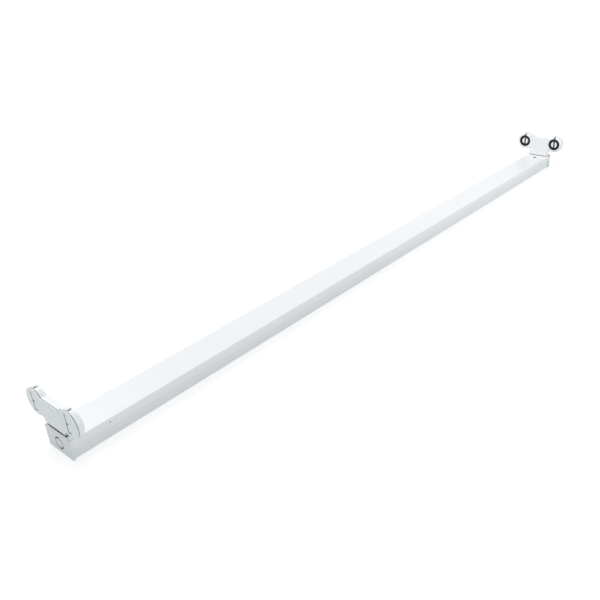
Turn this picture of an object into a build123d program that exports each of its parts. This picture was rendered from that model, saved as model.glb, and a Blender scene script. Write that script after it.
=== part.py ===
from build123d import *
from math import atan2, cos, degrees, radians, sin, sqrt
import os

# Twin batten for two straight tubes with two-pin ends, lying on its back.
# X runs along the channel, Y across it and Z away from the ceiling.
# The origin is the middle of the ceiling face, and sizes are millimetres.

# Tubes, and how they sit between the lampholders
tube_length = 1199.4
tube_end_play = 0.8
tube_spacing = 66.0
tube_rise = 28.5
pin_length = 7.1
pin_diameter = 2.35
pin_spacing = 12.7
pin_play = 0.65

# Folded steel channel: tray against the ceiling, cover over its walls
sheet = 0.6
bend_radius = 1.2
channel_width = 46.0
cover_top = 25.0
seam_height = 14.0
tray_lift = 1.2
tray_edge_lift = 0.4
tray_strip = 2.2
tray_wall_gap = 2.4
sliding_gap = 0.1

# Ceiling fixing pads, pressed down from the tray's floor
fixing_spacing = 700.0
pad_radius = 13.0
fixing_slot_length = 11.0
fixing_slot_width = 5.0

# End plates
plate_thickness = 1.0
plate_rim = 0.9
plate_rim_depth = 1.4
plate_side_gap = 0.1
plate_end_gap = 0.2
plate_rise = 2.0
plate_corner = 1.2
plate_ear = 1.0
plate_ear_height = 2.6
plate_tongue_length = 12.0
plate_tongue_height = 8.0
plate_tongue_lift = 3.0
plate_knockout_height = 13.0
plate_knockout_radius = 7.0
plate_knockout_slit_width = 3.4
plate_knockout_slit_height = 1.8
plate_knockout_line = 1.4
plate_knockout_bridge = 1.2
plate_knockout_web = 0.5
plate_knockout_margin = 1.5

# Lampholder moulding
lobe_room = 1.2
lobe_bevel = 3.0
bridge_rise = 9.8
bridge_fillet = 1.0
index_reach = 18.4
index_rise = 3.6
foot_side_gap = 2.2
neck_fillet = 5.3
neck_share = 0.95
front_wall = 2.2
side_wall = 2.4
cheek_rise = 4.3
cheek_edge_gap = 0.8
cheek_lap = 1.2
shadow_slot = 3.5
foot_depth = 6.0
foot_rebate = 1.0
foot_rebate_depth = 1.6
foot_seal_inset = 0.3
foot_neck_step = 1.2
foot_groove_play = 0.2
foot_hook_drop = 4.0
foot_hook_chamfer = 1.0
wire_duct_width = 8.0
notch_play = 1.0

# Lampholder lid, and the gasket in the groove under it
lid_plate = 0.78
lid_panel = 0.12
lid_groove = 0.75
gasket_inset = 0.2
gasket_play = 0.1
lid_lip = 0.8
lid_lip_height = 0.7
lid_lip_play = 0.15
latch_offset = 4.5
latch_reach = 12.4
latch_foot = 6.5
latch_tick = 4.5
latch_line = 1.8

# Rotor: black ring with a white slotted hub
ring_radius = 12.0
ring_recess = 0.3
ring_flange_step = 1.4
ring_flange_depth = 1.8
ring_index_notch = 1.4
rotor_play = 0.08
slit_ease = 0.5
rotor_end_play = 0.2
hub_recess = 0.6
hub_press_gap = 0.05
hub_web = 0.4
hub_edge = 0.4

# Contact strip: two spring noses at each socket, joined by a bus
strip_thickness = 0.4
strip_width = 2.6
strip_ring_gap = 0.3
strip_wall_gap = 0.2
nose_press = 0.4
nose_hub_gap = 0.4
nose_lead = 8.0
nose_flare = 3.2
nose_bend = 1.2
strip_turn = 35.0
bus_turn = 45.0
rest_width = 7.0
rest_offset = 4.0
rest_height = 4.0

# Cover screws, and the brackets that take them
screw_from_face = 15.5
screw_head_radius = 3.6
screw_head_height = 1.6
screw_shank_radius = 1.9
screw_length = 7.0
screw_play = 0.15
screw_sink = 0.4
screw_recess = 0.8
screw_recess_width = 0.8
dish_drop = 1.6
bracket_sheet = 1.0
bracket_width = 18.0
bracket_length = 14.0
bracket_foot = 6.0
bracket_bend = 1.5

# Supply entry grommet
grommet_bore = 4.5
grommet_groove_radius = 7.5
grommet_flange_radius = 9.5
grommet_lift = 0.2
grommet_upper_flange = 1.8
grommet_play = 0.1

# Terminal block, its clamps and screws
block_x = 60.0
pole_pitch = 10.0
block_end_margin = 5.5
block_width = 17.0
block_height = 13.0
block_shelf = 8.6
block_edge = 0.6
clamp_size = 5.0
clamp_wall = 0.9
clamp_length = 14.0
clamp_height = 5.2
clamp_play = 0.05
clamp_screw_radius = 1.25
clamp_screw_spacing = 8.0
clamp_screw_play = 0.1
clamp_screw_well = 1.9
clamp_screw_top = 0.6
block_screw_radius = 1.4
block_screw_head_radius = 2.6
block_screw_head_height = 1.8
screw_tip_lift = 0.3

# Wires and earth point
wire_diameter = 1.8
wire_depth = 4.6
wire_floor_gap = 0.2
wire_lane_gap = 4.2
wire_entry = 4.0
wire_corner = 4.5
wire_sweep = 60.0
wire_rise = 7.0
wire_block_run = 30.0
wire_lane_to_end = 105.0
wire_middle_to_end = 50.0
earth_reach = 34.0
earth_screw_radius = 1.9
earth_head_radius = 3.6
earth_head_height = 2.4
lug_thickness = 0.8
lug_radius = 3.8
lug_hole_play = 0.2
lug_barrel_length = 6.0
lug_barrel_wall = 0.6
lug_strap_width = 3.0
lug_barrel_gap = 0.1
lug_wire_gap = 0.8

# Places worked out from the sizes above
pin_slot_width = pin_diameter + pin_play
pin_slot_depth = pin_length + pin_play
hub_rear = pin_slot_depth + hub_web
housing_depth = hub_rear + rotor_end_play
holder_depth = housing_depth + lid_groove + lid_plate + lid_panel
face_x = tube_length / 2 + tube_end_play
back_x = face_x + holder_depth
plate_inner_x = back_x - plate_thickness
channel_end = plate_inner_x - plate_end_gap
screw_x = face_x - screw_from_face
cover_half = channel_width / 2
cover_wall_inner = cover_half - sheet
cover_under = cover_top - sheet
tray_half = cover_wall_inner - sliding_gap
tray_inner = tray_half - sheet
tray_wall_top = cover_under - tray_wall_gap
floor_top = tray_lift + sheet
dish_bottom = cover_under - dish_drop
plate_half = cover_half + plate_side_gap + plate_rim
plate_top = cover_top + plate_rise
cheek_top = cover_top + cheek_rise
shoulder_height = cheek_top + shadow_slot
foot_width = 2 * (tray_inner - foot_side_gap)
foot_half = foot_width / 2
notch_half = foot_half - foot_neck_step + foot_groove_play
cheek_half = cover_half - bend_radius - cheek_edge_gap
rotor_y = tube_spacing / 2
tube_height = cover_top + tube_rise
bridge_top = tube_height + bridge_rise
nose_radius = pin_spacing / 2 + pin_diameter / 2 - nose_press
hub_radius = nose_radius - nose_hub_gap
ring_bore = hub_radius + hub_press_gap
ring_flange_radius = ring_radius + ring_flange_step
cavity_radius = ring_flange_radius + lobe_room
lobe_radius = cavity_radius + side_wall
slit_width = pin_slot_width + 2 * slit_ease
flange_start = front_wall + rotor_end_play
ring_rear = flange_start + ring_flange_depth
strip_start = ring_rear + strip_ring_gap
strip_turn_radius = cavity_radius - strip_wall_gap - strip_thickness / 2
bus_height = tube_height - strip_turn_radius * sin(radians(bus_turn))
block_length = 2 * pole_pitch + 2 * block_end_margin
clamp_z = floor_top + clamp_height
wire_floor = floor_top + wire_diameter / 2 + wire_floor_gap
wire_x = face_x + wire_depth
wire_lane = tray_inner - wire_lane_gap
earth_x = block_x - earth_reach
earth_y = wire_diameter / 2 + lug_wire_gap + lug_radius - wire_lane
ends = (("right", 0), ("left", 180))
sides = (("rear", rotor_y), ("front", -rotor_y))
bottom_up = (Align.CENTER, Align.CENTER, Align.MIN)
top_down = (Align.CENTER, Align.CENTER, Align.MAX)


def keep(piece, name):
    """Label a finished piece and write its file."""
    piece.part.label = name
    export_step(piece.part, f"parts/{name}.step")


def keep_at_ends(piece, name):
    """Write a piece made at the right end, and the same piece turned round at the left end."""
    for end, turn in ends:
        with BuildPart() as placed:
            add(piece.part, rotation=(0, 0, turn))
        keep(placed, f"{end}_{name}")


def keep_at_sockets(piece, name):
    """Write a piece made on the right end's middle line at each of the four sockets."""
    for end, turn in ends:
        for side, socket_y in sides:
            with BuildPart() as placed:
                with Locations((0, socket_y, 0)):
                    add(piece.part, rotation=(0, 0, turn))
            keep(placed, f"{end}_{side}_{name}")


def folded_sheet(plane, *corners):
    """Section of a folded sheet, given the corners of one half of its middle line."""
    other_half = [(-y, z) for y, z in reversed(corners)]
    with BuildSketch(plane) as section:
        with BuildLine():
            FilletPolyline(*corners, *other_half, radius=bend_radius - sheet / 2)
        trace(line_width=sheet)
    return section.sketch


def holder_outline(plane, bottom, inset=0.0):
    """Butterfly outline across a lampholder: two lobes, a straight bridge and a straight foot.

    Each half is a foot line, a hollow neck arc, the lobe's arc, a hollow bridge arc and the bridge line,
    all tangent. The neck is no larger than the foot line leaves room for.
    """
    lobe = lobe_radius - inset
    foot_y = foot_half - inset
    foot_z = bottom + inset
    top_z = bridge_top - inset
    reach = rotor_y - foot_y
    neck_room = ((tube_height - foot_z) ** 2 - lobe**2 + reach**2) / (2 * (lobe + reach))
    neck = min(neck_fillet + inset, neck_share * neck_room)
    crook = bridge_fillet + inset
    neck_y = foot_y + neck
    neck_z = tube_height - sqrt((lobe + neck) ** 2 - (rotor_y - neck_y) ** 2)
    crook_z = top_z + crook
    crook_y = rotor_y - sqrt((lobe + crook) ** 2 - (crook_z - tube_height) ** 2)
    neck_angle = degrees(atan2(tube_height - neck_z, rotor_y - neck_y))
    crook_angle = degrees(atan2(crook_z - tube_height, crook_y - rotor_y))
    with BuildSketch(plane) as outline:
        with BuildLine():
            Line((0, foot_z), (foot_y, foot_z))
            Line((foot_y, foot_z), (foot_y, neck_z))
            CenterArc((neck_y, neck_z), neck, 180, neck_angle - 180)
            CenterArc((rotor_y, tube_height), lobe, neck_angle + 180, crook_angle - neck_angle + 180)
            CenterArc((crook_y, crook_z), crook, crook_angle + 180, 90 - crook_angle)
            Line((crook_y, top_z), (0, top_z))
            mirror(about=Plane.YZ)
        make_face()
    return outline.sketch


def index_shoulder(plane, inset=0.0):
    """Sloping shoulder beside one lobe, which tells the moulding's two sides apart."""
    start_y = rotor_y - index_reach + inset * (sqrt(2) - 1)
    end_y = rotor_y - lobe_radius / 2
    low_z = bridge_top - inset
    with BuildSketch(plane) as shoulder:
        with BuildLine():
            Polyline(
                (start_y, tube_height),
                (start_y, low_z),
                (start_y + index_rise, low_z + index_rise),
                (end_y, low_z + index_rise),
                (end_y, tube_height),
                close=True,
            )
        make_face()
    return shoulder.sketch


os.makedirs("parts", exist_ok=True)

# Base tray: two walls, a low strip beside each, a raised floor, fixing pads, supply entry and screw holes
with BuildPart() as base_tray:
    wall_y = tray_half - sheet / 2
    strip_y = wall_y - tray_strip
    strip_z = tray_edge_lift + sheet / 2
    floor_z = tray_lift + sheet / 2
    floor_y = strip_y - (floor_z - strip_z)
    tray_corners = ((wall_y, tray_wall_top), (wall_y, strip_z), (strip_y, strip_z), (floor_y, floor_z))
    extrude(folded_sheet(Plane.YZ.offset(-channel_end), *tray_corners), amount=2 * channel_end)
    with GridLocations(fixing_spacing, 1, 2, 1):
        Cylinder(pad_radius, floor_top, align=bottom_up)
    with Locations((0, 0, sheet)):
        with GridLocations(fixing_spacing, 1, 2, 1):
            Cylinder(pad_radius - sheet, floor_top, align=bottom_up, mode=Mode.SUBTRACT)
    with BuildSketch(Plane.XY) as fixing_slots:
        with GridLocations(fixing_spacing, 1, 2, 1):
            SlotOverall(fixing_slot_length, fixing_slot_width)
    extrude(amount=floor_top, mode=Mode.SUBTRACT)
    Cylinder(grommet_groove_radius + grommet_play, 2 * floor_top, mode=Mode.SUBTRACT)
    with Locations((earth_x, earth_y, 0)):
        Cylinder(earth_screw_radius + screw_play, 2 * floor_top, mode=Mode.SUBTRACT)
    with Locations((block_x + pole_pitch / 2, 0, 0)):
        Cylinder(block_screw_radius + screw_play, 2 * floor_top, mode=Mode.SUBTRACT)
keep(base_tray, "base_tray")

# Spine cover: folded lid with a notch at each end and dished screw holes
with BuildPart() as spine_cover:
    wall_y = cover_half - sheet / 2
    cover_corners = ((wall_y, seam_height), (wall_y, cover_top - sheet / 2))
    extrude(folded_sheet(Plane.YZ.offset(-channel_end), *cover_corners), amount=2 * channel_end)
    for end in (-1, 1):
        out = Align.MIN if end > 0 else Align.MAX
        with Locations((end * (face_x - notch_play), 0, cover_top)):
            Box(holder_depth, 2 * notch_half, 4 * sheet, align=(out, Align.CENTER, Align.CENTER),
                mode=Mode.SUBTRACT)
        with Locations((end * screw_x, 0, cover_top)):
            Cone(screw_head_radius + sheet - dish_drop, screw_head_radius + 2 * sheet, dish_drop + sheet,
                 align=top_down)
            Cone(screw_head_radius + screw_play - dish_drop, screw_head_radius + screw_play + sheet,
                 dish_drop + sheet, align=top_down, mode=Mode.SUBTRACT)
keep(spine_cover, "spine_cover")

# End plate: face with a rim on each side of the channel, a tab behind the lampholder's foot, ears at its top
# corners, tongues inside the tray and a cable knock-out held by two bridges
with BuildPart() as end_plate:
    with BuildSketch(Plane.YZ.offset(plate_inner_x - plate_rim_depth)) as plate_face:
        Rectangle(2 * plate_half, plate_top, align=(Align.CENTER, Align.MIN))
        with Locations((0, plate_top)):
            Rectangle(2 * (plate_half + plate_ear), plate_ear_height, align=(Align.CENTER, Align.MAX))
        fillet(plate_face.vertices().group_by(Axis.Y)[-1], radius=plate_corner)
        Rectangle(2 * cheek_half, cheek_top, align=(Align.CENTER, Align.MIN))
        fillet(plate_face.vertices().group_by(Axis.Y)[-1], radius=plate_corner)
    extrude(amount=plate_rim_depth + plate_thickness)
    with BuildSketch(Plane.YZ.offset(plate_inner_x - plate_rim_depth)) as plate_hollow:
        Rectangle(2 * (plate_half - plate_rim), 4 * plate_top)
    extrude(amount=plate_rim_depth, mode=Mode.SUBTRACT)
    for side in (-1, 1):
        with Locations((plate_inner_x, side * (tray_inner - sliding_gap), floor_top + plate_tongue_lift)):
            Box(plate_tongue_length, plate_thickness, plate_tongue_height,
                align=(Align.MAX, Align.MAX if side > 0 else Align.MIN, Align.MIN))
    with Locations(Location((plate_inner_x, 0, plate_knockout_height), (0, 90, 0))):
        Cylinder(plate_knockout_radius + plate_knockout_margin, plate_thickness - plate_knockout_web,
                 align=bottom_up, mode=Mode.SUBTRACT)
    with BuildSketch(Plane.YZ.offset(plate_inner_x)) as knockout_cuts:
        with Locations((0, plate_knockout_height)):
            Circle(plate_knockout_radius + plate_knockout_line / 2)
            Circle(plate_knockout_radius - plate_knockout_line / 2, mode=Mode.SUBTRACT)
            Rectangle(4 * plate_knockout_radius, plate_knockout_bridge, mode=Mode.SUBTRACT)
            with GridLocations(1, 2 * plate_knockout_radius, 1, 2):
                Rectangle(plate_knockout_slit_width, plate_knockout_slit_height)
    extrude(amount=plate_thickness, mode=Mode.SUBTRACT)
keep_at_ends(end_plate, "end_plate")

# Lampholder housing: hollow moulded shell with bevelled lobes, rotor holes, pin slits and a grooved foot
with BuildPart() as housing:
    bevel_root = holder_outline(Plane.YZ.offset(face_x + lobe_bevel), cover_top)
    bevel_tip = holder_outline(Plane.YZ.offset(face_x), cover_top, lobe_bevel)
    extrude(bevel_root, amount=housing_depth - lobe_bevel)
    loft((bevel_root, bevel_tip), ruled=True)
    extrude(index_shoulder(Plane.YZ.offset(face_x)), amount=housing_depth)
    with Locations((face_x, 0, cover_top)):
        Box(housing_depth, foot_width, bridge_top - cover_top, align=(Align.MIN, Align.CENTER, Align.MIN))
        Box(foot_rebate_depth, foot_width, 2 * foot_rebate, align=(Align.MIN, Align.CENTER, Align.CENTER),
            mode=Mode.SUBTRACT)
    with Locations((face_x + foot_depth, 0, shoulder_height)):
        Box(holder_depth, tube_spacing, shoulder_height, align=(Align.MIN, Align.CENTER, Align.MAX),
            mode=Mode.SUBTRACT)
    for side in (-1, 1):
        with Locations((face_x + foot_rebate_depth, side * cheek_half, cover_top)):
            Box(channel_end - face_x - foot_rebate_depth, cheek_half - foot_half + cheek_lap, cheek_rise,
                align=(Align.MIN, Align.MAX if side > 0 else Align.MIN, Align.MIN))
    neck_bottom = cover_under - foot_groove_play
    with Locations((face_x, 0, cover_top)):
        Box(foot_depth, foot_width - 2 * foot_neck_step, cover_top - neck_bottom,
            align=(Align.MIN, Align.CENTER, Align.MAX))
    with BuildSketch(Plane.YZ.offset(face_x)) as foot_hook:
        with Locations((0, neck_bottom)):
            Rectangle(foot_width, foot_hook_drop, align=(Align.CENTER, Align.MAX))
        chamfer(foot_hook.vertices().group_by(Axis.Y)[0], length=foot_hook_chamfer)
    extrude(amount=foot_depth)
    cavity_plane = Plane.YZ.offset(face_x + front_wall)
    extrude(holder_outline(cavity_plane, shoulder_height, side_wall), amount=housing_depth,
            mode=Mode.SUBTRACT)
    with BuildSketch(Plane.YZ.offset(face_x)) as rotor_holes:
        with Locations((-rotor_y, tube_height), (rotor_y, tube_height)):
            Circle(ring_radius + rotor_play)
    extrude(amount=front_wall, mode=Mode.SUBTRACT)
    with BuildSketch(Plane.YZ.offset(face_x)) as pin_slits:
        with Locations((-rotor_y, tube_height), (rotor_y, tube_height)):
            Rectangle(slit_width, 2 * lobe_radius, align=(Align.CENTER, Align.MIN))
    extrude(amount=pin_slot_depth, mode=Mode.SUBTRACT)
    with Locations((face_x + front_wall, 0, shoulder_height + 2 * side_wall)):
        Box(foot_depth, wire_duct_width, cover_top, align=(Align.MIN, Align.CENTER, Align.MAX),
            mode=Mode.SUBTRACT)
    for side in (-1, 1):
        with Locations((face_x + front_wall, side * rest_offset, bus_height)):
            Box(strip_start - front_wall, rest_width, rest_height,
                align=(Align.MIN, Align.MIN if side > 0 else Align.MAX, Align.CENTER))
keep_at_ends(housing, "lampholder_housing")

# Foot seal: dark strip in the rebate along the foot's front edge
with BuildPart() as foot_seal:
    with Locations((face_x + foot_rebate_depth, 0, cover_top)):
        Box(foot_rebate_depth - foot_seal_inset, foot_width - 2 * foot_seal_inset, foot_rebate,
            align=(Align.MAX, Align.CENTER, Align.MIN))
keep_at_ends(foot_seal, "foot_seal")

# Lampholder lid: thin back with a raised middle panel, a lip inside the housing and cut latch lines
seat_x = face_x + housing_depth
lid_x = seat_x + lid_groove
with BuildPart() as lid:
    extrude(holder_outline(Plane.YZ.offset(lid_x), shoulder_height), amount=lid_plate)
    extrude(index_shoulder(Plane.YZ.offset(lid_x)), amount=lid_plate)
    with BuildSketch(Plane.YZ.offset(lid_x + lid_plate)) as panel:
        add(holder_outline(Plane.XY, shoulder_height))
        with Locations((0, shoulder_height)):
            Rectangle(foot_width, 2 * bridge_top, mode=Mode.INTERSECT)
    extrude(amount=lid_panel)
    lip_outer = side_wall + lid_lip_play
    lip_depth = lid_groove + lid_lip_height
    extrude(holder_outline(Plane.YZ.offset(lid_x), shoulder_height, lip_outer), amount=-lip_depth)
    extrude(holder_outline(Plane.YZ.offset(lid_x), shoulder_height, lip_outer + lid_lip), amount=-lip_depth,
            mode=Mode.SUBTRACT)
    with BuildSketch(Plane.YZ.offset(lid_x)) as latch_lines:
        with Locations((-rotor_y - latch_offset, tube_height), (rotor_y - latch_offset, tube_height)):
            Rectangle(latch_line, 2 * latch_reach)
            Rectangle(latch_tick, latch_line, align=(Align.MIN, Align.CENTER))
        with Locations((-rotor_y - latch_offset, tube_height - latch_reach),
                       (rotor_y - latch_offset, tube_height - latch_reach)):
            Rectangle(latch_foot, latch_line, align=(Align.MIN, Align.MIN))
    extrude(amount=lid_plate + lid_panel, mode=Mode.SUBTRACT)
keep_at_ends(lid, "lampholder_lid")

# Lid gasket: dark seal in the groove between the housing's rim and the lid
with BuildPart() as gasket:
    extrude(holder_outline(Plane.YZ.offset(seat_x), shoulder_height, gasket_inset), amount=lid_groove)
    extrude(index_shoulder(Plane.YZ.offset(seat_x), gasket_inset), amount=lid_groove)
    extrude(holder_outline(Plane.YZ.offset(seat_x), shoulder_height, side_wall - gasket_play),
            amount=lid_groove, mode=Mode.SUBTRACT)
keep_at_ends(gasket, "lid_gasket")

# Contact strip: a spring round the bottom of each rotor with two noses, joined by a bus
with BuildPart() as contact_strip:
    with BuildSketch(Plane.YZ.offset(face_x + strip_start)) as strip_lines:
        turn_y = strip_turn_radius * cos(radians(strip_turn))
        turn_z = strip_turn_radius * sin(radians(strip_turn))
        nose_y = nose_radius + strip_thickness / 2
        for socket_y in (-rotor_y, rotor_y):
            with BuildLine() as spring:
                for side in (-1, 1):
                    FilletPolyline(
                        (socket_y + side * (nose_y + nose_flare), tube_height + nose_lead),
                        (socket_y + side * nose_y, tube_height),
                        (socket_y + side * turn_y, tube_height - turn_z),
                        radius=nose_bend,
                    )
                CenterArc((socket_y, tube_height), strip_turn_radius, 180 + strip_turn, 180 - 2 * strip_turn)
            trace(spring.line, line_width=strip_thickness)
        bus_length = tube_spacing - 2 * strip_turn_radius * cos(radians(bus_turn))
        with Locations((0, bus_height)):
            Rectangle(bus_length, strip_thickness)
    extrude(amount=strip_width)
keep_at_ends(contact_strip, "contact_strip")

# Rotor ring: collar in the housing's hole and a flange behind its front wall, open at the top
with BuildPart() as rotor_ring:
    with BuildSketch(Plane.XY) as ring_profile:
        with BuildLine():
            Polyline(
                (face_x + ring_recess, ring_bore),
                (face_x + ring_recess, ring_radius),
                (face_x + flange_start, ring_radius),
                (face_x + flange_start, ring_flange_radius),
                (face_x + ring_rear, ring_flange_radius),
                (face_x + ring_rear, ring_bore),
                close=True,
            )
        make_face()
    revolve(axis=Axis.X)
    with BuildSketch(Plane.YZ.offset(face_x)) as ring_slot:
        Rectangle(pin_slot_width, 2 * ring_flange_radius, align=(Align.CENTER, Align.MIN))
        with Locations((0, -ring_radius)):
            Rectangle(pin_slot_width, 2 * ring_index_notch)
    extrude(amount=holder_depth, mode=Mode.SUBTRACT)
with BuildPart() as raised_ring:
    with Locations((0, 0, tube_height)):
        add(rotor_ring.part)
keep_at_sockets(raised_ring, "rotor_ring")

# Rotor hub: white core with the pin slot across it
with BuildPart() as rotor_hub:
    with Locations(Location((face_x + hub_recess, 0, tube_height), (0, 90, 0))):
        Cylinder(hub_radius, hub_rear - hub_recess, align=bottom_up)
    chamfer(rotor_hub.edges().filter_by(GeomType.CIRCLE).sort_by(Axis.X)[0], length=hub_edge)
    with Locations((face_x, 0, tube_height)):
        Box(pin_slot_depth, pin_slot_width, 4 * hub_radius, align=(Align.MIN, Align.CENTER, Align.CENTER),
            mode=Mode.SUBTRACT)
keep_at_sockets(rotor_hub, "rotor_hub")

# Cover bracket: bridge on the tray's floor under the cover's screw
with BuildPart() as bracket:
    with BuildSketch(Plane.YZ.offset(screw_x - bracket_length / 2)) as bracket_section:
        bracket_low = floor_top + bracket_sheet / 2
        bracket_high = dish_bottom - bracket_sheet / 2
        with BuildLine():
            FilletPolyline(
                (-bracket_width / 2 - bracket_foot, bracket_low),
                (-bracket_width / 2, bracket_low),
                (-bracket_width / 2, bracket_high),
                (bracket_width / 2, bracket_high),
                (bracket_width / 2, bracket_low),
                (bracket_width / 2 + bracket_foot, bracket_low),
                radius=bracket_bend,
            )
        trace(line_width=bracket_sheet)
    extrude(amount=bracket_length)
    with Locations((screw_x, 0, dish_bottom)):
        Cylinder(screw_shank_radius + screw_play, 2 * bracket_sheet, align=top_down, mode=Mode.SUBTRACT)
        Cylinder(screw_shank_radius + screw_play, bracket_sheet, align=bottom_up, mode=Mode.SUBTRACT)
keep_at_ends(bracket, "cover_bracket")

# Cover screws: countersunk, with a cross recess
with BuildPart() as cover_screws:
    for end in (-1, 1):
        with Locations((end * screw_x, 0, cover_top - screw_sink)):
            Cone(screw_head_radius - screw_head_height, screw_head_radius, screw_head_height, align=top_down)
            Cylinder(screw_shank_radius, screw_length, align=top_down)
            Box(screw_head_radius, screw_recess_width, 2 * screw_recess, mode=Mode.SUBTRACT)
            Box(screw_recess_width, screw_head_radius, 2 * screw_recess, mode=Mode.SUBTRACT)
keep(cover_screws, "cover_screws")

# Cable grommet: rubber ring in the tray's supply entry
with BuildPart() as grommet:
    lower_top = tray_lift - grommet_play
    upper_bottom = floor_top + grommet_play
    with BuildSketch(Plane.XZ) as grommet_profile:
        with BuildLine():
            Polyline(
                (grommet_bore, grommet_lift),
                (grommet_flange_radius, grommet_lift),
                (grommet_flange_radius, lower_top),
                (grommet_groove_radius, lower_top),
                (grommet_groove_radius, upper_bottom),
                (grommet_flange_radius, upper_bottom),
                (grommet_flange_radius, upper_bottom + grommet_upper_flange),
                (grommet_bore, upper_bottom + grommet_upper_flange),
                close=True,
            )
        make_face()
    revolve(axis=Axis.Z)
keep(grommet, "cable_grommet")

# Terminal block: stepped body with three poles along X
pole_places = [(block_x + step * pole_pitch, 0, clamp_z) for step in (-1, 0, 1)]
with BuildPart() as block:
    with BuildSketch(Plane.YZ.offset(block_x - block_length / 2)) as block_section:
        with Locations((0, floor_top)):
            Rectangle(block_width, block_shelf, align=(Align.CENTER, Align.MIN))
            Rectangle(clamp_screw_spacing + 3 * clamp_screw_well, block_height,
                      align=(Align.CENTER, Align.MIN))
        fillet(block_section.vertices().group_by(Axis.Y)[-1], radius=block_edge)
    extrude(amount=block_length)
    for gap_x in (block_x - pole_pitch / 2, block_x + pole_pitch / 2):
        with Locations((gap_x, 0, floor_top + block_shelf)):
            Box(2 * block_screw_head_radius + 2 * block_edge, block_width, block_height,
                align=bottom_up, mode=Mode.SUBTRACT)
    for place in pole_places:
        with Locations(place):
            Box(clamp_size + clamp_play, 2 * block_width, clamp_size + clamp_play, mode=Mode.SUBTRACT)
            with GridLocations(1, clamp_screw_spacing, 1, 2):
                Cylinder(clamp_screw_well, block_height, align=bottom_up, mode=Mode.SUBTRACT)
    with Locations((block_x + pole_pitch / 2, 0, 0)):
        Cylinder(block_screw_radius + screw_play, 3 * block_height, mode=Mode.SUBTRACT)
keep(block, "terminal_block")

# Terminal clamps: square brass tubes tapped for their screws
with BuildPart() as clamps:
    for place in pole_places:
        with Locations(place):
            Box(clamp_size, clamp_length, clamp_size)
            Box(clamp_size - 2 * clamp_wall, 2 * clamp_length, clamp_size - 2 * clamp_wall,
                mode=Mode.SUBTRACT)
            with GridLocations(1, clamp_screw_spacing, 1, 2):
                Cylinder(clamp_screw_radius + clamp_screw_play, clamp_size, align=bottom_up,
                         mode=Mode.SUBTRACT)
keep(clamps, "terminal_clamps")

# Terminal screws: slotted screws that hold the wires in the clamps
with BuildPart() as clamp_screws:
    screw_low = clamp_z + wire_diameter / 2 + wire_floor_gap
    screw_high = floor_top + block_height - clamp_screw_top
    for place in pole_places:
        with Locations((place[0], 0, screw_low)):
            with GridLocations(1, clamp_screw_spacing, 1, 2):
                Cylinder(clamp_screw_radius, screw_high - screw_low, align=bottom_up)
        with Locations((place[0], 0, screw_high)):
            with GridLocations(1, clamp_screw_spacing, 1, 2):
                Box(2 * clamp_screw_radius, screw_recess_width, 2 * screw_recess, mode=Mode.SUBTRACT)
keep(clamp_screws, "terminal_screws")

# Block screw: holds the terminal block to the tray
with BuildPart() as block_screw:
    with Locations((block_x + pole_pitch / 2, 0, floor_top + block_shelf)):
        Cylinder(block_screw_head_radius, block_screw_head_height, align=bottom_up)
        Cylinder(block_screw_radius, floor_top + block_shelf - screw_tip_lift, align=top_down)
    with Locations((block_x + pole_pitch / 2, 0, floor_top + block_shelf + block_screw_head_height)):
        Box(2 * block_screw_head_radius, screw_recess_width, 2 * screw_recess, mode=Mode.SUBTRACT)
keep(block_screw, "block_screw")

# Earth lug and screw on the tray's floor
lug_barrel_radius = wire_diameter / 2 + lug_barrel_gap + lug_barrel_wall
barrel_x = earth_x + lug_radius
barrel_z = floor_top + lug_barrel_radius
with BuildPart() as earth_lug:
    with Locations((earth_x, earth_y, floor_top)):
        Cylinder(lug_radius, lug_thickness, align=bottom_up)
        Box(2 * lug_radius, lug_strap_width, lug_thickness, align=(Align.MIN, Align.CENTER, Align.MIN))
    with Locations(Location((barrel_x, earth_y, barrel_z), (0, 90, 0))):
        Cylinder(lug_barrel_radius, lug_barrel_length, align=bottom_up)
        Cylinder(lug_barrel_radius - lug_barrel_wall, 3 * lug_barrel_length, mode=Mode.SUBTRACT)
    with Locations((earth_x, earth_y, floor_top)):
        Cylinder(earth_screw_radius + lug_hole_play, 2 * lug_barrel_radius, align=bottom_up,
                 mode=Mode.SUBTRACT)
keep(earth_lug, "earth_lug")

with BuildPart() as earth_screw:
    head_z = floor_top + lug_thickness
    with Locations((earth_x, earth_y, head_z)):
        Cylinder(earth_head_radius, earth_head_height, align=bottom_up)
        Cylinder(earth_screw_radius, head_z - screw_tip_lift, align=top_down)
    chamfer(earth_screw.edges().filter_by(GeomType.CIRCLE).sort_by(Axis.Z)[-1], length=earth_head_height / 3)
    with Locations((earth_x, earth_y, head_z + earth_head_height)):
        Box(2 * earth_head_radius, screw_recess_width, 2 * screw_recess, mode=Mode.SUBTRACT)
keep(earth_screw, "earth_screw")


def keep_wire(name, route, radii):
    """Sweep a wire along straight runs and arcs, and print how true its volume is."""
    with BuildPart() as wire:
        with BuildLine() as path:
            FilletPolyline(*route, radius=radii)
        middle_line = path.wire()
        with BuildSketch(Plane(origin=middle_line @ 0, z_dir=middle_line % 0)) as section:
            Circle(wire_diameter / 2)
        sweep(section.sketch, path=middle_line)
    share = wire.part.volume / (section.sketch.area * middle_line.length)
    print(f"{name}: {middle_line.length:.0f} mm long, radii {radii}, volume share {share:.4f}")
    keep(wire, name)


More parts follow.
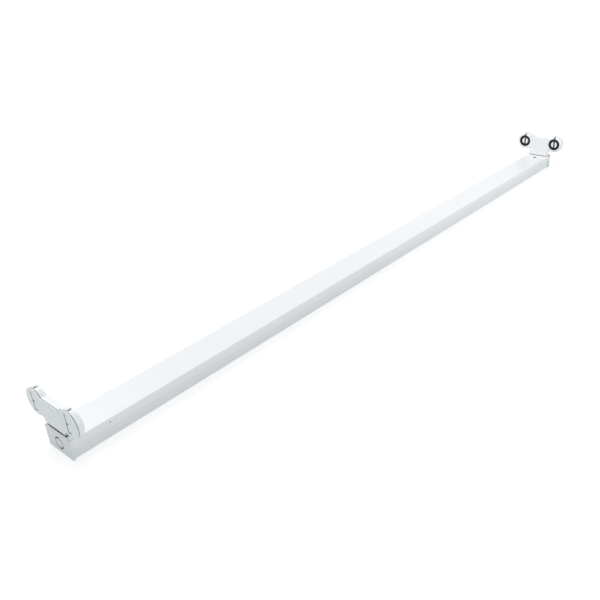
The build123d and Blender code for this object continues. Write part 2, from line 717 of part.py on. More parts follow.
# Wires: from the clamps along the tray's floor, under the brackets and up the lampholders' feet
wire_end_z = bus_height - strip_thickness / 2
main_radii = [wire_corner, wire_corner, wire_sweep, wire_sweep, wire_rise]
for wire_name, pole, direction in (("live_wire", 0, -1), ("neutral_wire", 1, 1)):
    pole_x = pole_places[1 + pole][0]
    main_route = [
        (pole_x, -wire_entry, clamp_z),
        (pole_x, -wire_lane, clamp_z),
        (pole_x + direction * wire_block_run, -wire_lane, wire_floor),
        (direction * (wire_x - wire_lane_to_end), -wire_lane, wire_floor),
        (direction * (wire_x - wire_middle_to_end), 0, wire_floor),
        (direction * wire_x, 0, wire_floor),
        (direction * wire_x, 0, wire_end_z),
    ]
    keep_wire(wire_name, main_route, main_radii)

earth_pole_x = pole_places[0][0]
earth_route = [
    (earth_pole_x, -wire_entry, clamp_z),
    (earth_pole_x, earth_y, clamp_z),
    (earth_pole_x - pole_pitch, earth_y, barrel_z),
    (barrel_x + lug_barrel_gap, earth_y, barrel_z),
]
keep_wire("earth_wire", earth_route, [wire_corner, wire_corner])
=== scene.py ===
import logging
import math
from dataclasses import dataclass, field
from enum import Enum
from typing import ClassVar

import bmesh
import bpy
from mathutils import Matrix, Vector
from mathutils.geometry import intersect_point_line


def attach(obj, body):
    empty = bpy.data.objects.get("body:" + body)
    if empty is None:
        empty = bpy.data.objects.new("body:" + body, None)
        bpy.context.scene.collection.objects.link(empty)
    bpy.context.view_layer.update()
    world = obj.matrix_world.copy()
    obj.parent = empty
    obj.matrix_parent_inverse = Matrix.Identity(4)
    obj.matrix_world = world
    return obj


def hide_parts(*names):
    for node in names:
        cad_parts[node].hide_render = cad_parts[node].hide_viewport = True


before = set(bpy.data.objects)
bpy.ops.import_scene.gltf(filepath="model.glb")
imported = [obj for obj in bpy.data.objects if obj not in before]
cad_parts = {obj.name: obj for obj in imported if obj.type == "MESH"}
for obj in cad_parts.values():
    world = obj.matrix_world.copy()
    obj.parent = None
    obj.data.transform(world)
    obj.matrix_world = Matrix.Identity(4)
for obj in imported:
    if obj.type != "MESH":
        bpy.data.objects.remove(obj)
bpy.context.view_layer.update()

LOG = logging.getLogger("twin_batten")
MM = 0.001
FIXTURE = "fixture"
EDGE_MARK = "edge"
EVEN_WEIGHT = 100
CREASE = math.radians(32.0)
CHANNEL_HALF = 23.0 * MM
CHANNEL_MIDDLE = (0.0, 0.0, 12.5 * MM)

Colour = tuple[float, float, float]
Point = tuple[float, float, float]


class End(Enum):
    """The two ends of the channel, with the way each one faces along X."""

    LEFT = -1
    RIGHT = 1

    @property
    def word(self) -> str:
        """Name of the end as the nodes spell it."""
        return self.name.lower()


class Side(Enum):
    """The two tube lines, with their side of the channel along Y."""

    FRONT = -1
    REAR = 1

    @property
    def word(self) -> str:
        """Name of the side as the nodes spell it."""
        return self.name.lower()


class Slot(Enum):
    """The record's material slots."""

    ENAMEL = "white_enamel"
    MOULDING = "white_moulding"
    BLACK = "black_moulding"
    HUB = "white_hub"
    BRONZE = "spring_bronze"
    ZINC = "zinc_steel"
    DARK_STEEL = "dark_steel"
    BRASS = "terminal_brass"
    NYLON = "natural_nylon"
    RUBBER = "black_rubber"
    BROWN = "brown_insulation"
    BLUE = "blue_insulation"
    EARTH = "earth_insulation"


class Signal:
    """A shader socket that can stand in Python arithmetic."""

    def __init__(self, tree: "ShaderTree", socket: bpy.types.NodeSocket) -> None:
        """Keep the socket and the tree that it belongs to.

        Args:
            tree: Shader tree that new Math nodes go into.
            socket: Output socket that this signal carries.
        """
        self.tree = tree
        self.socket = socket

    def _math(self, operation: str, first: "Signal | float", second: "Signal | float") -> "Signal":
        """Add one Math node.

        Args:
            operation: Blender's name for the operation.
            first: Left operand.
            second: Right operand.

        Returns:
            The node's value.
        """
        return self.tree.signal("ShaderNodeMath", {"operation": operation}, {0: first, 1: second})

    def __add__(self, other: "Signal | float") -> "Signal":
        """Sum of two values."""
        return self._math("ADD", self, other)

    def __radd__(self, other: float) -> "Signal":
        """Sum with a number on the left."""
        return self._math("ADD", other, self)

    def __sub__(self, other: "Signal | float") -> "Signal":
        """Difference of two values."""
        return self._math("SUBTRACT", self, other)

    def __rsub__(self, other: float) -> "Signal":
        """Difference from a number on the left."""
        return self._math("SUBTRACT", other, self)

    def __mul__(self, other: "Signal | float") -> "Signal":
        """Product of two values."""
        return self._math("MULTIPLY", self, other)

    def __rmul__(self, other: float) -> "Signal":
        """Product with a number on the left."""
        return self._math("MULTIPLY", other, self)

    def __gt__(self, other: "Signal | float") -> "Signal":
        """One where this value is the larger, otherwise nought."""
        return self._math("GREATER_THAN", self, other)


class ShaderTree:
    """Node tree of one material or world, filled by method calls."""

    MIX_SHARE: ClassVar[int] = 0
    MIX_LOW: ClassVar[int] = 6
    MIX_HIGH: ClassVar[int] = 7
    MIX_COLOUR: ClassVar[int] = 2

    def __init__(self, tree: bpy.types.NodeTree) -> None:
        """Empty the tree.

        Args:
            tree: Blender's node tree.
        """
        self.tree = tree
        self.tree.nodes.clear()

    def node(self, kind: str, settings: dict | None = None, sockets: dict | None = None) -> bpy.types.Node:
        """Add one node.

        Args:
            kind: Blender's name for the node's type.
            settings: Values set on the node itself, before its sockets.
            sockets: Input name or number, and the number, colour or signal it takes.

        Returns:
            The new node.
        """
        made = self.tree.nodes.new(kind)
        for name, value in (settings or {}).items():
            setattr(made, name, value)
        for name, value in (sockets or {}).items():
            if isinstance(value, Signal):
                self.tree.links.new(value.socket, made.inputs[name])
            else:
                made.inputs[name].default_value = value
        return made

    def signal(self, kind: str, settings: dict | None = None, sockets: dict | None = None,
               output: str | int = 0) -> Signal:
        """Add one node and take one of its outputs.

        Args:
            kind: Blender's name for the node's type.
            settings: Values set on the node itself.
            sockets: Inputs of the node.
            output: Name or number of the output.

        Returns:
            That output as a signal.
        """
        return Signal(self, self.node(kind, settings, sockets).outputs[output])

    def place(self) -> Signal:
        """Object coordinates of the shaded point, in metres."""
        return self.signal("ShaderNodeTexCoord", output="Object")

    def noise(self, scale: float, detail: float = 2.0, stretch: Point = (1.0, 1.0, 1.0)) -> Signal:
        """Soft noise between nought and one.

        Args:
            scale: Cells to a metre.
            detail: Octaves of finer noise.
            stretch: Factor on each axis.

        Returns:
            The noise value.
        """
        spot = self.signal("ShaderNodeMapping", {}, {"Vector": self.place(), "Scale": stretch})
        return self.signal("ShaderNodeTexNoise", {}, {"Vector": spot, "Scale": scale, "Detail": detail})

    def edge(self) -> Signal:
        """One on a piece's rounded edges and nought elsewhere."""
        return self.signal("ShaderNodeAttribute", {"attribute_name": EDGE_MARK}, output="Fac")

    def between(self, share: Signal, low: Colour, high: Colour) -> Signal:
        """Blend of two colours.

        Args:
            share: Part of the second colour.
            low: First colour.
            high: Second colour.

        Returns:
            The blended colour.
        """
        sockets = {self.MIX_SHARE: share, self.MIX_LOW: (*low, 1.0), self.MIX_HIGH: (*high, 1.0)}
        return self.signal("ShaderNodeMix", {"data_type": "RGBA"}, sockets, output=self.MIX_COLOUR)

    def bump(self, height: Signal, depth: float, strength: float) -> Signal:
        """Normal of a surface raised by a height.

        Args:
            height: Height between nought and one.
            depth: Metres that a height of one stands for.
            strength: Share of the effect.

        Returns:
            The bent normal.
        """
        sockets = {"Height": height, "Distance": depth, "Strength": strength}
        return self.signal("ShaderNodeBump", {}, sockets)


@dataclass(frozen=True)
class Finish:
    """A surface finish: a principled shader with its own variation."""

    slot: Slot
    colour: Colour
    roughness: float
    made: ClassVar[dict["Finish", bpy.types.Material]] = {}

    def material(self) -> bpy.types.Material:
        """Material of this finish, made once.

        Returns:
            The material.
        """
        if self not in Finish.made:
            material = bpy.data.materials.new(f"{self.slot.value}_{len(Finish.made)}")
            material.use_nodes = True
            tree = ShaderTree(material.node_tree)
            surface = tree.node("ShaderNodeBsdfPrincipled", {}, self.sockets(tree))
            tree.node("ShaderNodeOutputMaterial", {}, {"Surface": Signal(tree, surface.outputs[0])})
            Finish.made[self] = material
        return Finish.made[self]

    def sockets(self, tree: ShaderTree) -> dict:
        """Values and signals of the principled shader; each finish gives its own."""
        raise NotImplementedError

    def shades(self, share: float) -> tuple[Colour, Colour]:
        """Darker and lighter neighbours of the colour.

        Args:
            share: How far each one lies from the colour, as a share of it.

        Returns:
            The darker and the lighter colour.
        """
        darker = tuple(value * (1.0 - share) for value in self.colour)
        lighter = tuple(min(1.0, value * (1.0 + share)) for value in self.colour)
        return darker, lighter


@dataclass(frozen=True)
class PowderCoat(Finish):
    """Gloss powder coat on folded steel: faint orange peel, thinner on the edges."""

    slot: Slot = Slot.ENAMEL
    colour: Colour = (0.865, 0.878, 0.89)
    roughness: float = 0.34
    cloud: float = 9.0
    cloud_detail: float = 3.0
    clouding: float = 0.018
    rub: float = 60.0
    rub_detail: float = 4.0
    rub_stretch: Point = (0.12, 1.0, 1.0)
    rub_range: float = 0.1
    peel: float = 620.0
    peel_detail: float = 1.0
    peel_depth: float = 0.04 * MM
    peel_strength: float = 0.25
    edge_thinning: float = 0.12
    edge_gloss: float = 0.06
    ior: float = 1.5

    def sockets(self, tree: ShaderTree) -> dict:
        """Coat with clouding in its colour, peel in its normal and thin edges.

        Args:
            tree: Shader tree that the nodes go into.

        Returns:
            Inputs of the principled shader.
        """
        clouds = tree.noise(self.cloud, self.cloud_detail)
        rubbed = tree.noise(self.rub, self.rub_detail, self.rub_stretch)
        peel = tree.noise(self.peel, self.peel_detail)
        darker, lighter = self.shades(self.clouding)
        thin = tree.edge() * self.edge_thinning
        least = self.roughness - self.rub_range / 2.0
        return {
            "Base Color": tree.between(clouds - thin, darker, lighter),
            "Roughness": least + rubbed * self.rub_range - tree.edge() * self.edge_gloss,
            "Normal": tree.bump(peel, self.peel_depth, self.peel_strength),
            "IOR": self.ior,
        }


@dataclass(frozen=True)
class Moulding(Finish):
    """Moulded plastic: flow clouds, fine spark-eroded texture and glossier edges."""

    slot: Slot = Slot.MOULDING
    colour: Colour = (0.885, 0.905, 0.915)
    roughness: float = 0.24
    flow: float = 35.0
    flow_detail: float = 2.0
    flow_stretch: Point = (1.0, 1.0, 0.4)
    flow_dulling: float = 0.06
    texture: float = 1500.0
    texture_detail: float = 1.0
    texture_depth: float = 0.02 * MM
    texture_strength: float = 0.2
    variation: float = 0.012
    edge_gloss: float = 0.05
    shine: float = 0.5
    ior: float = 1.52

    def sockets(self, tree: ShaderTree) -> dict:
        """Plastic with flow clouds along the moulding and a fine texture.

        Args:
            tree: Shader tree that the nodes go into.

        Returns:
            Inputs of the principled shader.
        """
        flow = tree.noise(self.flow, self.flow_detail, self.flow_stretch)
        grain = tree.noise(self.texture, self.texture_detail)
        darker, lighter = self.shades(self.variation)
        return {
            "Base Color": tree.between(flow, darker, lighter),
            "Roughness": self.roughness + flow * self.flow_dulling - tree.edge() * self.edge_gloss,
            "Normal": tree.bump(grain, self.texture_depth, self.texture_strength),
            "IOR": self.ior,
            "Specular IOR Level": self.shine,
        }


@dataclass(frozen=True)
class Metal(Finish):
    """Bare or plated metal with a drawn or turned grain along one axis."""

    slot: Slot = Slot.ZINC
    colour: Colour = (0.62, 0.63, 0.65)
    roughness: float = 0.32
    patch: float = 120.0
    patch_detail: float = 3.0
    patch_dulling: float = 0.06
    grain: float = 900.0
    grain_detail: float = 2.0
    grain_range: float = 0.12
    grain_depth: float = 0.01 * MM
    grain_strength: float = 0.3
    stretch: Point = (0.08, 1.0, 1.0)
    variation: float = 0.1

    def sockets(self, tree: ShaderTree) -> dict:
        """Metal with grain in its roughness and normal, and patches in its colour.

        Args:
            tree: Shader tree that the nodes go into.

        Returns:
            Inputs of the principled shader.
        """
        patches = tree.noise(self.patch, self.patch_detail)
        grain = tree.noise(self.grain, self.grain_detail, self.stretch)
        darker, lighter = self.shades(self.variation)
        least = self.roughness - self.grain_range / 2.0
        return {
            "Base Color": tree.between(patches, darker, lighter),
            "Metallic": 1.0,
            "Roughness": least + grain * self.grain_range + patches * self.patch_dulling,
            "Normal": tree.bump(grain, self.grain_depth, self.grain_strength),
        }


@dataclass(frozen=True)
class EarthInsulation(Finish):
    """Green insulation with a yellow stripe along it."""

    slot: Slot = Slot.EARTH
    colour: Colour = (0.08, 0.32, 0.06)
    roughness: float = 0.4
    stripe: Colour = (0.75, 0.62, 0.05)
    stripe_shift: Point = (0.0, 12.0 * MM, 0.0)
    stripe_edge: float = 0.3 * MM
    flow: float = 400.0
    flow_dulling: float = 0.1

    def sockets(self, tree: ShaderTree) -> dict:
        """Two colours split along the wire.

        Args:
            tree: Shader tree that the nodes go into.

        Returns:
            Inputs of the principled shader.
        """
        shifted = {"Vector": tree.place(), "Location": self.stripe_shift}
        spot = tree.signal("ShaderNodeMapping", {}, shifted)
        across = tree.signal("ShaderNodeSeparateXYZ", {}, {"Vector": spot}, output="Y")
        flow = tree.noise(self.flow)
        return {
            "Base Color": tree.between(across > self.stripe_edge, self.colour, self.stripe),
            "Roughness": self.roughness + flow * self.flow_dulling,
        }


ENAMEL = PowderCoat()
# Painted shade: the tray's enamel is a darker copy of the cover's, standing in for the shade on the tray's
# side below the cover.
TRAY_SHADED_ENAMEL = PowderCoat(colour=(0.815, 0.845, 0.863))
# Painted shade: the end cap's enamel is a darker, bluer copy of the cover's, standing in for the cool
# shade on the end face.
PLATE_SHADED_ENAMEL = PowderCoat(colour=(0.785, 0.835, 0.862))
# Dark grey for the sheets' inner faces: a grey backing coat, kept this dark as painted shade for the
# channel's inside seen through gaps and slits.
BACKING_COAT_AND_SHADE = PowderCoat(colour=(0.2, 0.205, 0.21), roughness=0.55, cloud=30.0)
SHELL_WHITE = Moulding()
# Painted light and cool shade: the lid's white is a lighter, bluer copy of the shell white, toned for how
# light falls on the back face.
LID_LIGHT_TONED_WHITE = Moulding(colour=(0.885, 0.938, 0.958), roughness=0.3)
RING_BLACK = Moulding(Slot.BLACK, (0.011, 0.012, 0.013), 0.42, variation=0.25, shine=0.22)
HUB_WHITE = Moulding(Slot.HUB, (0.9, 0.9, 0.895), 0.2)
# Painted shade: near black for the walls and floor of the white hub's pin slot, standing in for the slot's
# shadow.
HUB_SLOT_SHADE = Moulding(Slot.HUB, (0.05, 0.052, 0.054), 0.6, variation=0.2, shine=0.1)
ZINC = Metal()
DARK_STEEL = Moulding(Slot.DARK_STEEL, (0.011, 0.011, 0.012), 0.65, texture=1200.0, variation=0.2,
                      shine=0.03)
BRONZE = Metal(Slot.BRONZE, (0.72, 0.48, 0.27), 0.28)
BRASS = Metal(Slot.BRASS, (0.78, 0.6, 0.28), 0.3, stretch=(1.0, 0.08, 1.0))
NYLON = Moulding(Slot.NYLON, (0.8, 0.79, 0.73), 0.42, variation=0.03)
# Black rubber for the grommet; the same black on the foot seal is painted shade for the gap under the
# holder's foot.
RUBBER = Moulding(Slot.RUBBER, (0.02, 0.02, 0.021), 0.65, texture=900.0, variation=0.2, shine=0.05)
# Painted shade: dark grey lid gasket standing in for the shadow in the groove round the lid.
LID_GAP_SHADE_GREY = Moulding(Slot.RUBBER, (0.11, 0.113, 0.116), 0.6, texture=900.0, variation=0.2, shine=0.25)
BROWN_COAT = Moulding(Slot.BROWN, (0.16, 0.065, 0.03), 0.4, variation=0.08)
BLUE_COAT = Moulding(Slot.BLUE, (0.03, 0.13, 0.5), 0.4, variation=0.08)
EARTH_COAT = EarthInsulation()


def show(name: str, shape: bmesh.types.BMesh, finish: Finish, body: str, *nodes: str,
         inside: Finish | None = None) -> None:
    """Turn a bmesh into a finished piece that rides on a body.

    Args:
        name: Name of the piece.
        shape: Mesh of the piece, in metres and in place; freed here.
        finish: Finish of the piece.
        body: Body that the piece rides on.
        nodes: Nodes that the piece stands for.
        inside: Finish of its second material, where it has one.
    """
    mesh = bpy.data.meshes.new(name)
    shape.to_mesh(mesh)
    shape.free()
    mesh.shade_smooth()
    mesh.set_sharp_from_angle(angle=CREASE)
    piece = bpy.data.objects.new(name, mesh)
    bpy.context.scene.collection.objects.link(piece)
    mesh.materials.append(finish.material())
    if inside:
        mesh.materials.append(inside.material())
    even = piece.modifiers.new("even_normals", "WEIGHTED_NORMAL")
    even.keep_sharp = True
    even.weight = EVEN_WEIGHT
    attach(piece, body)
    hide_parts(*nodes)
    LOG.info("%s: %d faces on %s", name, len(mesh.polygons), body)


def paint(node: str, finish: Finish) -> None:
    """Give a node that stays as it is its finish.

    Args:
        node: Name of the node.
        finish: Finish of the whole node.
    """
    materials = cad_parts[node].data.materials
    materials.clear()
    materials.append(finish.material())
    LOG.info("%s: painted %s", node, finish.slot.value)


@dataclass
class Rounding:
    """Rounding of a node's sharp edges, which spares those too close together for its width."""

    node: str
    width: float
    segments: int = 2
    weld: float = 0.002 * MM
    flat: float = math.radians(0.4)
    sharp: float = CREASE
    fold: float = math.radians(140.0)
    reach: float = 1.5
    rounds: int = 6

    def copy(self) -> bmesh.types.BMesh:
        """Copy the node, with each flat face in one piece.

        Returns:
            The copy.
        """
        shape = bmesh.new()
        shape.from_mesh(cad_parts[self.node].data)
        bmesh.ops.remove_doubles(shape, verts=shape.verts, dist=self.weld)
        bmesh.ops.dissolve_limit(shape, angle_limit=self.flat, verts=shape.verts, edges=shape.edges)
        shape.edges.index_update()
        return shape

    def creases(self, shape: bmesh.types.BMesh, angle: float) -> list[bmesh.types.BMEdge]:
        """Edges whose faces turn by more than an angle.

        Args:
            shape: Mesh to search.
            angle: Smallest turn in radians.

        Returns:
            The edges.
        """
        return [edge for edge in shape.edges if edge.is_manifold and edge.calc_face_angle() > angle]

    def near(self, ends: tuple[Vector, Vector], folds: list[Vector]) -> bool:
        """Tell whether an edge runs close by a fold.

        Args:
            ends: Two ends of the edge.
            folds: Middles of the folded places.

        Returns:
            True where a fold lies within reach.
        """
        for place in folds:
            share = intersect_point_line(place, *ends)[1]
            closest = ends[0].lerp(ends[1], min(1.0, max(0.0, share)))
            if (closest - place).length < self.reach * self.width:
                return True
        return False

    def build(self) -> bmesh.types.BMesh:
        """Round the edges, again without those that folded over.

        Returns:
            The rounded copy, with its rounded faces marked.
        """
        spared: set[int] = set()
        for _ in range(self.rounds):
            shape = self.copy()
            mark = shape.faces.layers.float.new(EDGE_MARK)
            chosen = [edge for edge in self.creases(shape, self.sharp) if edge.index not in spared]
            ends = {edge.index: tuple(corner.co.copy() for corner in edge.verts) for edge in chosen}
            rounded = bmesh.ops.bevel(shape, geom=chosen, affect="EDGES", offset=self.width,
                                      offset_type="OFFSET", segments=self.segments, profile=0.5,
                                      material=-1, clamp_overlap=False, loop_slide=False)
            for face in rounded["faces"]:
                face[mark] = 1.0
            shape.normal_update()
            turned = self.creases(shape, self.fold)
            folds = [edge.verts[0].co.lerp(edge.verts[1].co, 0.5) for edge in turned]
            LOG.info("%s: %d edges rounded, %d folds", self.node, len(chosen), len(folds))
            folded = {index for index, pair in ends.items() if self.near(pair, folds)}
            if not folded:
                break
            spared |= folded
        return shape


def softened(node: str, width: float) -> bmesh.types.BMesh:
    """Rounded copy of a node."""
    return Rounding(node, width).build()


def darkened_inside(shape: bmesh.types.BMesh, along: Point) -> bmesh.types.BMesh:
    """Give the faces that look into the channel the second material: dark grey, both a backing coat and
    painted shade.

    Args:
        shape: Mesh of a folded sheet.
        along: Share of each axis that counts towards looking inwards.

    Returns:
        The same mesh.
    """
    for face in shape.faces:
        outwards = face.calc_center_median() - Vector(CHANNEL_MIDDLE)
        within = abs(outwards.y) < CHANNEL_HALF and abs(outwards.z) < CHANNEL_MIDDLE[2]
        if within and face.normal.dot(outwards * Vector(along)) < 0.0:
            face.material_index = 1
    return shape


@dataclass
class Detent:
    """Round detent pressed into a side of the cover, with its floor painted dark grey as shade."""

    place: Vector
    radius: float = 1.9 * MM
    lip: float = 0.12 * MM
    slope: float = 0.9 * MM
    depth: float = 0.42 * MM
    edge_cuts: int = 5
    flat: float = 0.01 * MM
    cut_play: float = 0.0001 * MM

    @staticmethod
    def spans(corners: list[Vector], axis: int) -> bool:
        """Tell whether corners lie on both sides of nought along an axis."""
        return min(corner[axis] for corner in corners) < 0.0 < max(corner[axis] for corner in corners)

    def face(self, shape: bmesh.types.BMesh) -> bmesh.types.BMFace:
        """Find the flat face that the detent's middle lies on.

        Args:
            shape: Mesh of the cover.

        Returns:
            That face.
        """
        for face in shape.faces:
            corners = [corner.co - self.place for corner in face.verts]
            level = all(abs(corner.y) < self.flat for corner in corners)
            if level and self.spans(corners, 0) and self.spans(corners, 2):
                return face
        raise LookupError(f"no flat face at {tuple(self.place)}")

    def press(self, shape: bmesh.types.BMesh) -> None:
        """Cut a round patch out of the face and push it in.

        Args:
            shape: Mesh of the cover.
        """
        for axis in (Vector((1.0, 0.0, 0.0)), Vector((0.0, 0.0, 1.0))):
            for way in (-1.0, 1.0):
                face = self.face(shape)
                bmesh.ops.bisect_plane(shape, geom=[face, *face.edges, *face.verts], dist=self.cut_play,
                                       plane_co=self.place + axis * way * self.radius, plane_no=axis)
        face = self.face(shape)
        for edge in list(face.edges):
            start = edge.verts[0]
            for left in range(self.edge_cuts + 1, 1, -1):
                start = bmesh.utils.edge_split(edge, start, 1.0 / left)[1]
        for corner in face.verts:
            corner.co = self.place + (corner.co - self.place).normalized() * self.radius
        bmesh.ops.inset_individual(shape, faces=[face], thickness=self.lip, use_even_offset=True)
        bmesh.ops.inset_individual(shape, faces=[face], thickness=self.slope, depth=-self.depth,
                                   use_even_offset=True)
        # The floor takes the dark grey second material: painted shade in the dimple.
        face.material_index = 1


@dataclass
class Channel:
    """Folded steel spine: the tray against the ceiling and the cover over its walls."""

    fold_edge: float = 0.12 * MM
    grommet_edge: float = 0.4 * MM
    screw_edge: float = 0.08 * MM
    detent_reach: float = 558.5 * MM
    detent_height: float = 19.7 * MM

    def build(self) -> None:
        """Round the sheets' cut edges, give their inner sides the dark grey that is both backing coat and
        painted shade, and press the cover's detents.
        """
        across = (0.0, 1.0, 1.0)
        tray = darkened_inside(softened("base_tray", self.fold_edge), across)
        # The tray takes the darker copy of the enamel: painted shade.
        show("tray_sheet", tray, TRAY_SHADED_ENAMEL, FIXTURE, "base_tray", inside=BACKING_COAT_AND_SHADE)
        cover = darkened_inside(softened("spine_cover", self.fold_edge), across)
        for end in End:
            for side in Side:
                place = (end.value * self.detent_reach, side.value * CHANNEL_HALF, self.detent_height)
                Detent(Vector(place)).press(cover)
        show("cover_sheet", cover, ENAMEL, FIXTURE, "spine_cover", inside=BACKING_COAT_AND_SHADE)

    def dress(self) -> None:
        """Round and finish what sits in the sheets' holes."""
        grommet = softened("cable_grommet", self.grommet_edge)
        show("grommet_ring", grommet, RUBBER, FIXTURE, "cable_grommet")
        screws = softened("cover_screws", self.screw_edge)
        show("cover_screw_pair", screws, DARK_STEEL, FIXTURE, "cover_screws")
        for end in End:
            paint(f"{end.word}_cover_bracket", ZINC)


@dataclass
class EndPlate:
    """Plate that closes one end of the channel."""

    end: End
    edge: float = 0.15 * MM

    def build(self) -> None:
        """Round the plate's edges and give its inner side the dark grey that is both backing coat and
        painted shade.
        """
        node = f"{self.end.word}_end_plate"
        plate = darkened_inside(softened(node, self.edge), (1.0, 0.0, 0.0))
        # The end cap takes the darker, bluer copy of the enamel: painted cool shade.
        show(f"{self.end.word}_end_cap", plate, PLATE_SHADED_ENAMEL, FIXTURE, node, inside=BACKING_COAT_AND_SHADE)


@dataclass
class Lampholder:
    """Twin lampholder at one end: shell, back lid and contact strip."""

    end: End
    shell_edge: float = 0.2 * MM
    lid_edge: float = 0.12 * MM

    def build(self) -> None:
        """Round the mouldings' edges."""
        word = self.end.word
        housing = f"{word}_lampholder_housing"
        lid = f"{word}_lampholder_lid"
        show(f"{word}_holder_shell", softened(housing, self.shell_edge), SHELL_WHITE, FIXTURE, housing)
        # The lid takes the lighter, bluer copy of the shell white: painted light and cool shade.
        show(f"{word}_holder_back", softened(lid, self.lid_edge), LID_LIGHT_TONED_WHITE, FIXTURE, lid)

    def dress(self) -> None:
        """Finish the contact strip, and paint the two seals dark as the shade of the gaps round the lid
        and under the foot.
        """
        paint(f"{self.end.word}_contact_strip", BRONZE)
        # The lid gasket and the foot seal are dark parts set where the gaps are only shaded: painted
        # shade.
        paint(f"{self.end.word}_lid_gasket", LID_GAP_SHADE_GREY)
        paint(f"{self.end.word}_foot_seal", RUBBER)


@dataclass
class Rotor:
    """Rotor of one socket: black ring and white slotted hub, turning together."""

    end: End
    side: Side
    ring_edge: float = 0.18 * MM
    hub_edge: float = 0.15 * MM
    axis_offset: float = 33.0 * MM
    slot_half: float = 1.5 * MM
    slot_play: float = 0.01 * MM

    def build(self) -> None:
        """Round the rotor's edges and paint the walls and floor of its pin slot near black as shade."""
        body = f"{self.end.word}_{self.side.word}_rotor"
        ring = f"{body}_ring"
        hub = f"{body}_hub"
        show(f"{body}_collar", softened(ring, self.ring_edge), RING_BLACK, body, ring)
        core = softened(hub, self.hub_edge)
        # The pin slot's walls and floor take the near black second material: painted shade.
        for face in core.faces:
            across = face.calc_center_median().y - self.side.value * self.axis_offset
            face.material_index = int(abs(across) < self.slot_half + self.slot_play)
        show(f"{body}_core", core, HUB_WHITE, body, hub, inside=HUB_SLOT_SHADE)


@dataclass
class Wiring:
    """Terminal block, earth point and wires under the cover."""

    finishes: dict[str, Finish] = field(default_factory=lambda: {
        "terminal_block": NYLON,
        "terminal_clamps": BRASS,
        "terminal_screws": ZINC,
        "block_screw": ZINC,
        "earth_lug": ZINC,
        "earth_screw": ZINC,
        "live_wire": BROWN_COAT,
        "neutral_wire": BLUE_COAT,
        "earth_wire": EARTH_COAT,
    })

    def dress(self) -> None:
        """Finish each inner piece."""
        for node, finish in self.finishes.items():
            paint(node, finish)


@dataclass(frozen=True)
class Lamp:
    """Square lamp of the stage, out of the camera's sight.

    Its size is in metres, its power in watts and its spread in degrees.
    """

    name: str
    place: Point
    target: Point
    size: float
    power: float
    spread: float = 180.0
    colour: Colour = (1.0, 1.0, 1.0)

    def hang(self) -> None:
        """Put the lamp in its place and face it to its target."""
        data = bpy.data.lights.new(self.name, "AREA")
        data.shape = "SQUARE"
        data.size = self.size
        data.energy = self.power
        data.spread = math.radians(self.spread)
        data.color = self.colour
        lamp = bpy.data.objects.new(self.name, data)
        lamp.location = self.place
        facing = Vector(self.target) - Vector(self.place)
        lamp.rotation_euler = facing.to_track_quat("-Z", "Y").to_euler()
        lamp.visible_camera = False
        bpy.context.scene.collection.objects.link(lamp)


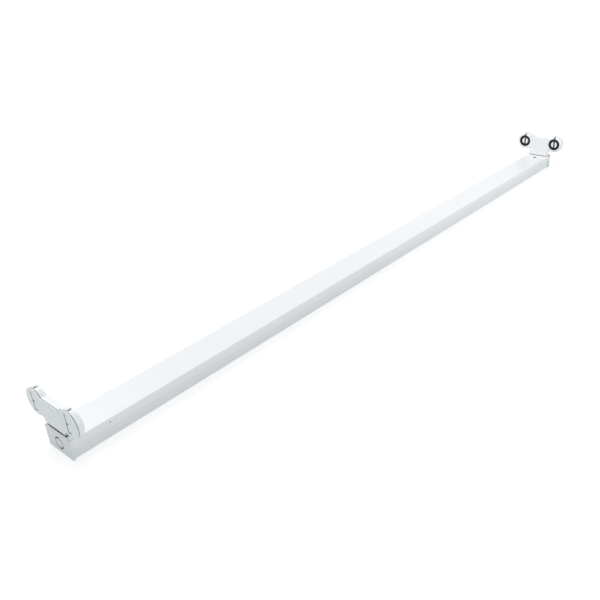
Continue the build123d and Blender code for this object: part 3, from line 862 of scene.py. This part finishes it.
@dataclass
class Studio:
    """Pale floor, soft light and the photograph's camera."""

    floor_half: float = 30.0
    floor_drop: float = 0.2 * MM
    floor_bounce: Colour = (0.7, 0.7, 0.7)
    floor_seen: Colour = (0.38, 0.38, 0.38)
    lift_near: Colour = (0.69, 0.69, 0.69)
    lift_far: Colour = (0.82, 0.82, 0.82)
    lift_start: float = 1.0
    lift_end: float = 4.0
    sky_light: Colour = (0.595, 0.602, 0.61)
    sky_seen: Colour = (1.0, 1.0, 1.0)
    lamps: tuple[Lamp, ...] = (
        Lamp("front_lamp", (0.1, -1.9, 1.0), (0.0, 0.0, 0.0), size=1.4, power=9.3,
             colour=(0.92, 0.985, 1.0)),
        Lamp("back_lamp", (-0.2, 1.2, 1.8), (0.0, 0.0, 0.0), size=1.2, power=20.2),
        Lamp("far_lamp", (-0.35, -0.5, 0.75), (0.62, 0.0, 0.05), size=0.5, power=0.2, spread=50.0),
    )
    camera_place: Point = (-0.86507, -0.59855, 0.48919)
    azimuth: float = 47.572
    elevation: float = 28.162
    roll: float = -3.218
    focal_pixels: float = 686.142
    image_pixels: float = 600.0
    sensor: float = 36.0
    clip_near: float = 0.01
    clip_far: float = 200.0

    def seen(self, tree: ShaderTree) -> Signal:
        """One for rays that show a surface: from the camera, a mirror or glass.

        Args:
            tree: Shader tree that the nodes go into.

        Returns:
            One for such rays and nought for others.
        """
        rays = tree.node("ShaderNodeLightPath")
        camera = Signal(tree, rays.outputs["Is Camera Ray"])
        glossy = Signal(tree, rays.outputs["Is Glossy Ray"])
        through = Signal(tree, rays.outputs["Is Transmission Ray"])
        return camera + glossy + through

    def floor_material(self) -> bpy.types.Material:
        """Floor that is white from afar, and plain enough close by to keep a shadow.

        Returns:
            The material.
        """
        material = bpy.data.materials.new("studio_floor")
        material.use_nodes = True
        tree = ShaderTree(material.node_tree)
        bounce = tree.signal("ShaderNodeBsdfDiffuse", {}, {"Color": (*self.floor_bounce, 1.0)})
        matt = tree.signal("ShaderNodeBsdfDiffuse", {}, {"Color": (*self.floor_seen, 1.0)})
        length = {"operation": "LENGTH"}
        away = tree.signal("ShaderNodeVectorMath", length, {0: tree.place()}, output="Value")
        span = {"Value": away, "From Min": self.lift_start, "From Max": self.lift_end}
        share = tree.signal("ShaderNodeMapRange", {}, span)
        lift_colour = tree.between(share, self.lift_near, self.lift_far)
        lift = tree.signal("ShaderNodeEmission", {}, {"Color": lift_colour})
        pale = tree.signal("ShaderNodeAddShader", {}, {0: matt, 1: lift})
        mixed = tree.signal("ShaderNodeMixShader", {}, {0: self.seen(tree), 1: bounce, 2: pale})
        tree.node("ShaderNodeOutputMaterial", {}, {"Surface": mixed})
        return material

    def floor(self) -> None:
        """Lay the floor under the fixture."""
        shape = bmesh.new()
        bmesh.ops.create_grid(shape, x_segments=1, y_segments=1, size=self.floor_half)
        bmesh.ops.translate(shape, verts=shape.verts, vec=(0.0, 0.0, -self.floor_drop))
        mesh = bpy.data.meshes.new("studio_floor")
        shape.to_mesh(mesh)
        shape.free()
        floor = bpy.data.objects.new("studio_floor", mesh)
        bpy.context.scene.collection.objects.link(floor)
        mesh.materials.append(self.floor_material())

    def sky(self) -> None:
        """Light the scene softly from all round, with white behind it."""
        world = bpy.data.worlds.new("studio_sky")
        world.use_nodes = True
        tree = ShaderTree(world.node_tree)
        light = tree.signal("ShaderNodeBackground", {}, {"Color": (*self.sky_light, 1.0)})
        white = tree.signal("ShaderNodeBackground", {}, {"Color": (*self.sky_seen, 1.0)})
        mixed = tree.signal("ShaderNodeMixShader", {}, {0: self.seen(tree), 1: light, 2: white})
        tree.node("ShaderNodeOutputWorld", {}, {"Surface": mixed})
        bpy.context.scene.world = world

    def camera(self) -> None:
        """Stand the camera where the photograph was taken from."""
        turn = math.radians(self.azimuth)
        lift = math.radians(self.elevation)
        lean = math.radians(self.roll)
        ahead = Vector((math.cos(lift) * math.sin(turn), math.cos(lift) * math.cos(turn), -math.sin(lift)))
        level = ahead.cross(Vector((0.0, 0.0, 1.0))).normalized()
        upright = level.cross(ahead)
        right = level * math.cos(lean) + upright * math.sin(lean)
        up = upright * math.cos(lean) - level * math.sin(lean)
        data = bpy.data.cameras.new("photo_camera")
        data.sensor_width = self.sensor
        data.lens = self.focal_pixels / self.image_pixels * self.sensor
        data.clip_start = self.clip_near
        data.clip_end = self.clip_far
        camera = bpy.data.objects.new("photo_camera", data)
        turned = Matrix((right, up, -ahead)).transposed().to_4x4()
        camera.matrix_world = Matrix.Translation(self.camera_place) @ turned
        bpy.context.scene.collection.objects.link(camera)
        bpy.context.scene.camera = camera

    def build(self) -> None:
        """Set the whole stage."""
        self.floor()
        self.sky()
        for lamp in self.lamps:
            lamp.hang()
        self.camera()
        bpy.context.scene.view_settings.view_transform = "Standard"


def main() -> None:
    """Build and dress the batten, sub-assembly by sub-assembly."""
    logging.basicConfig(level=logging.INFO, format="%(name)s %(message)s")
    channel = Channel()
    channel.build()
    channel.dress()
    for end in End:
        EndPlate(end).build()
        lampholder = Lampholder(end)
        lampholder.build()
        lampholder.dress()
        for side in Side:
            Rotor(end, side).build()
    Wiring().dress()
    Studio().build()


if __name__ == "__main__":
    main()
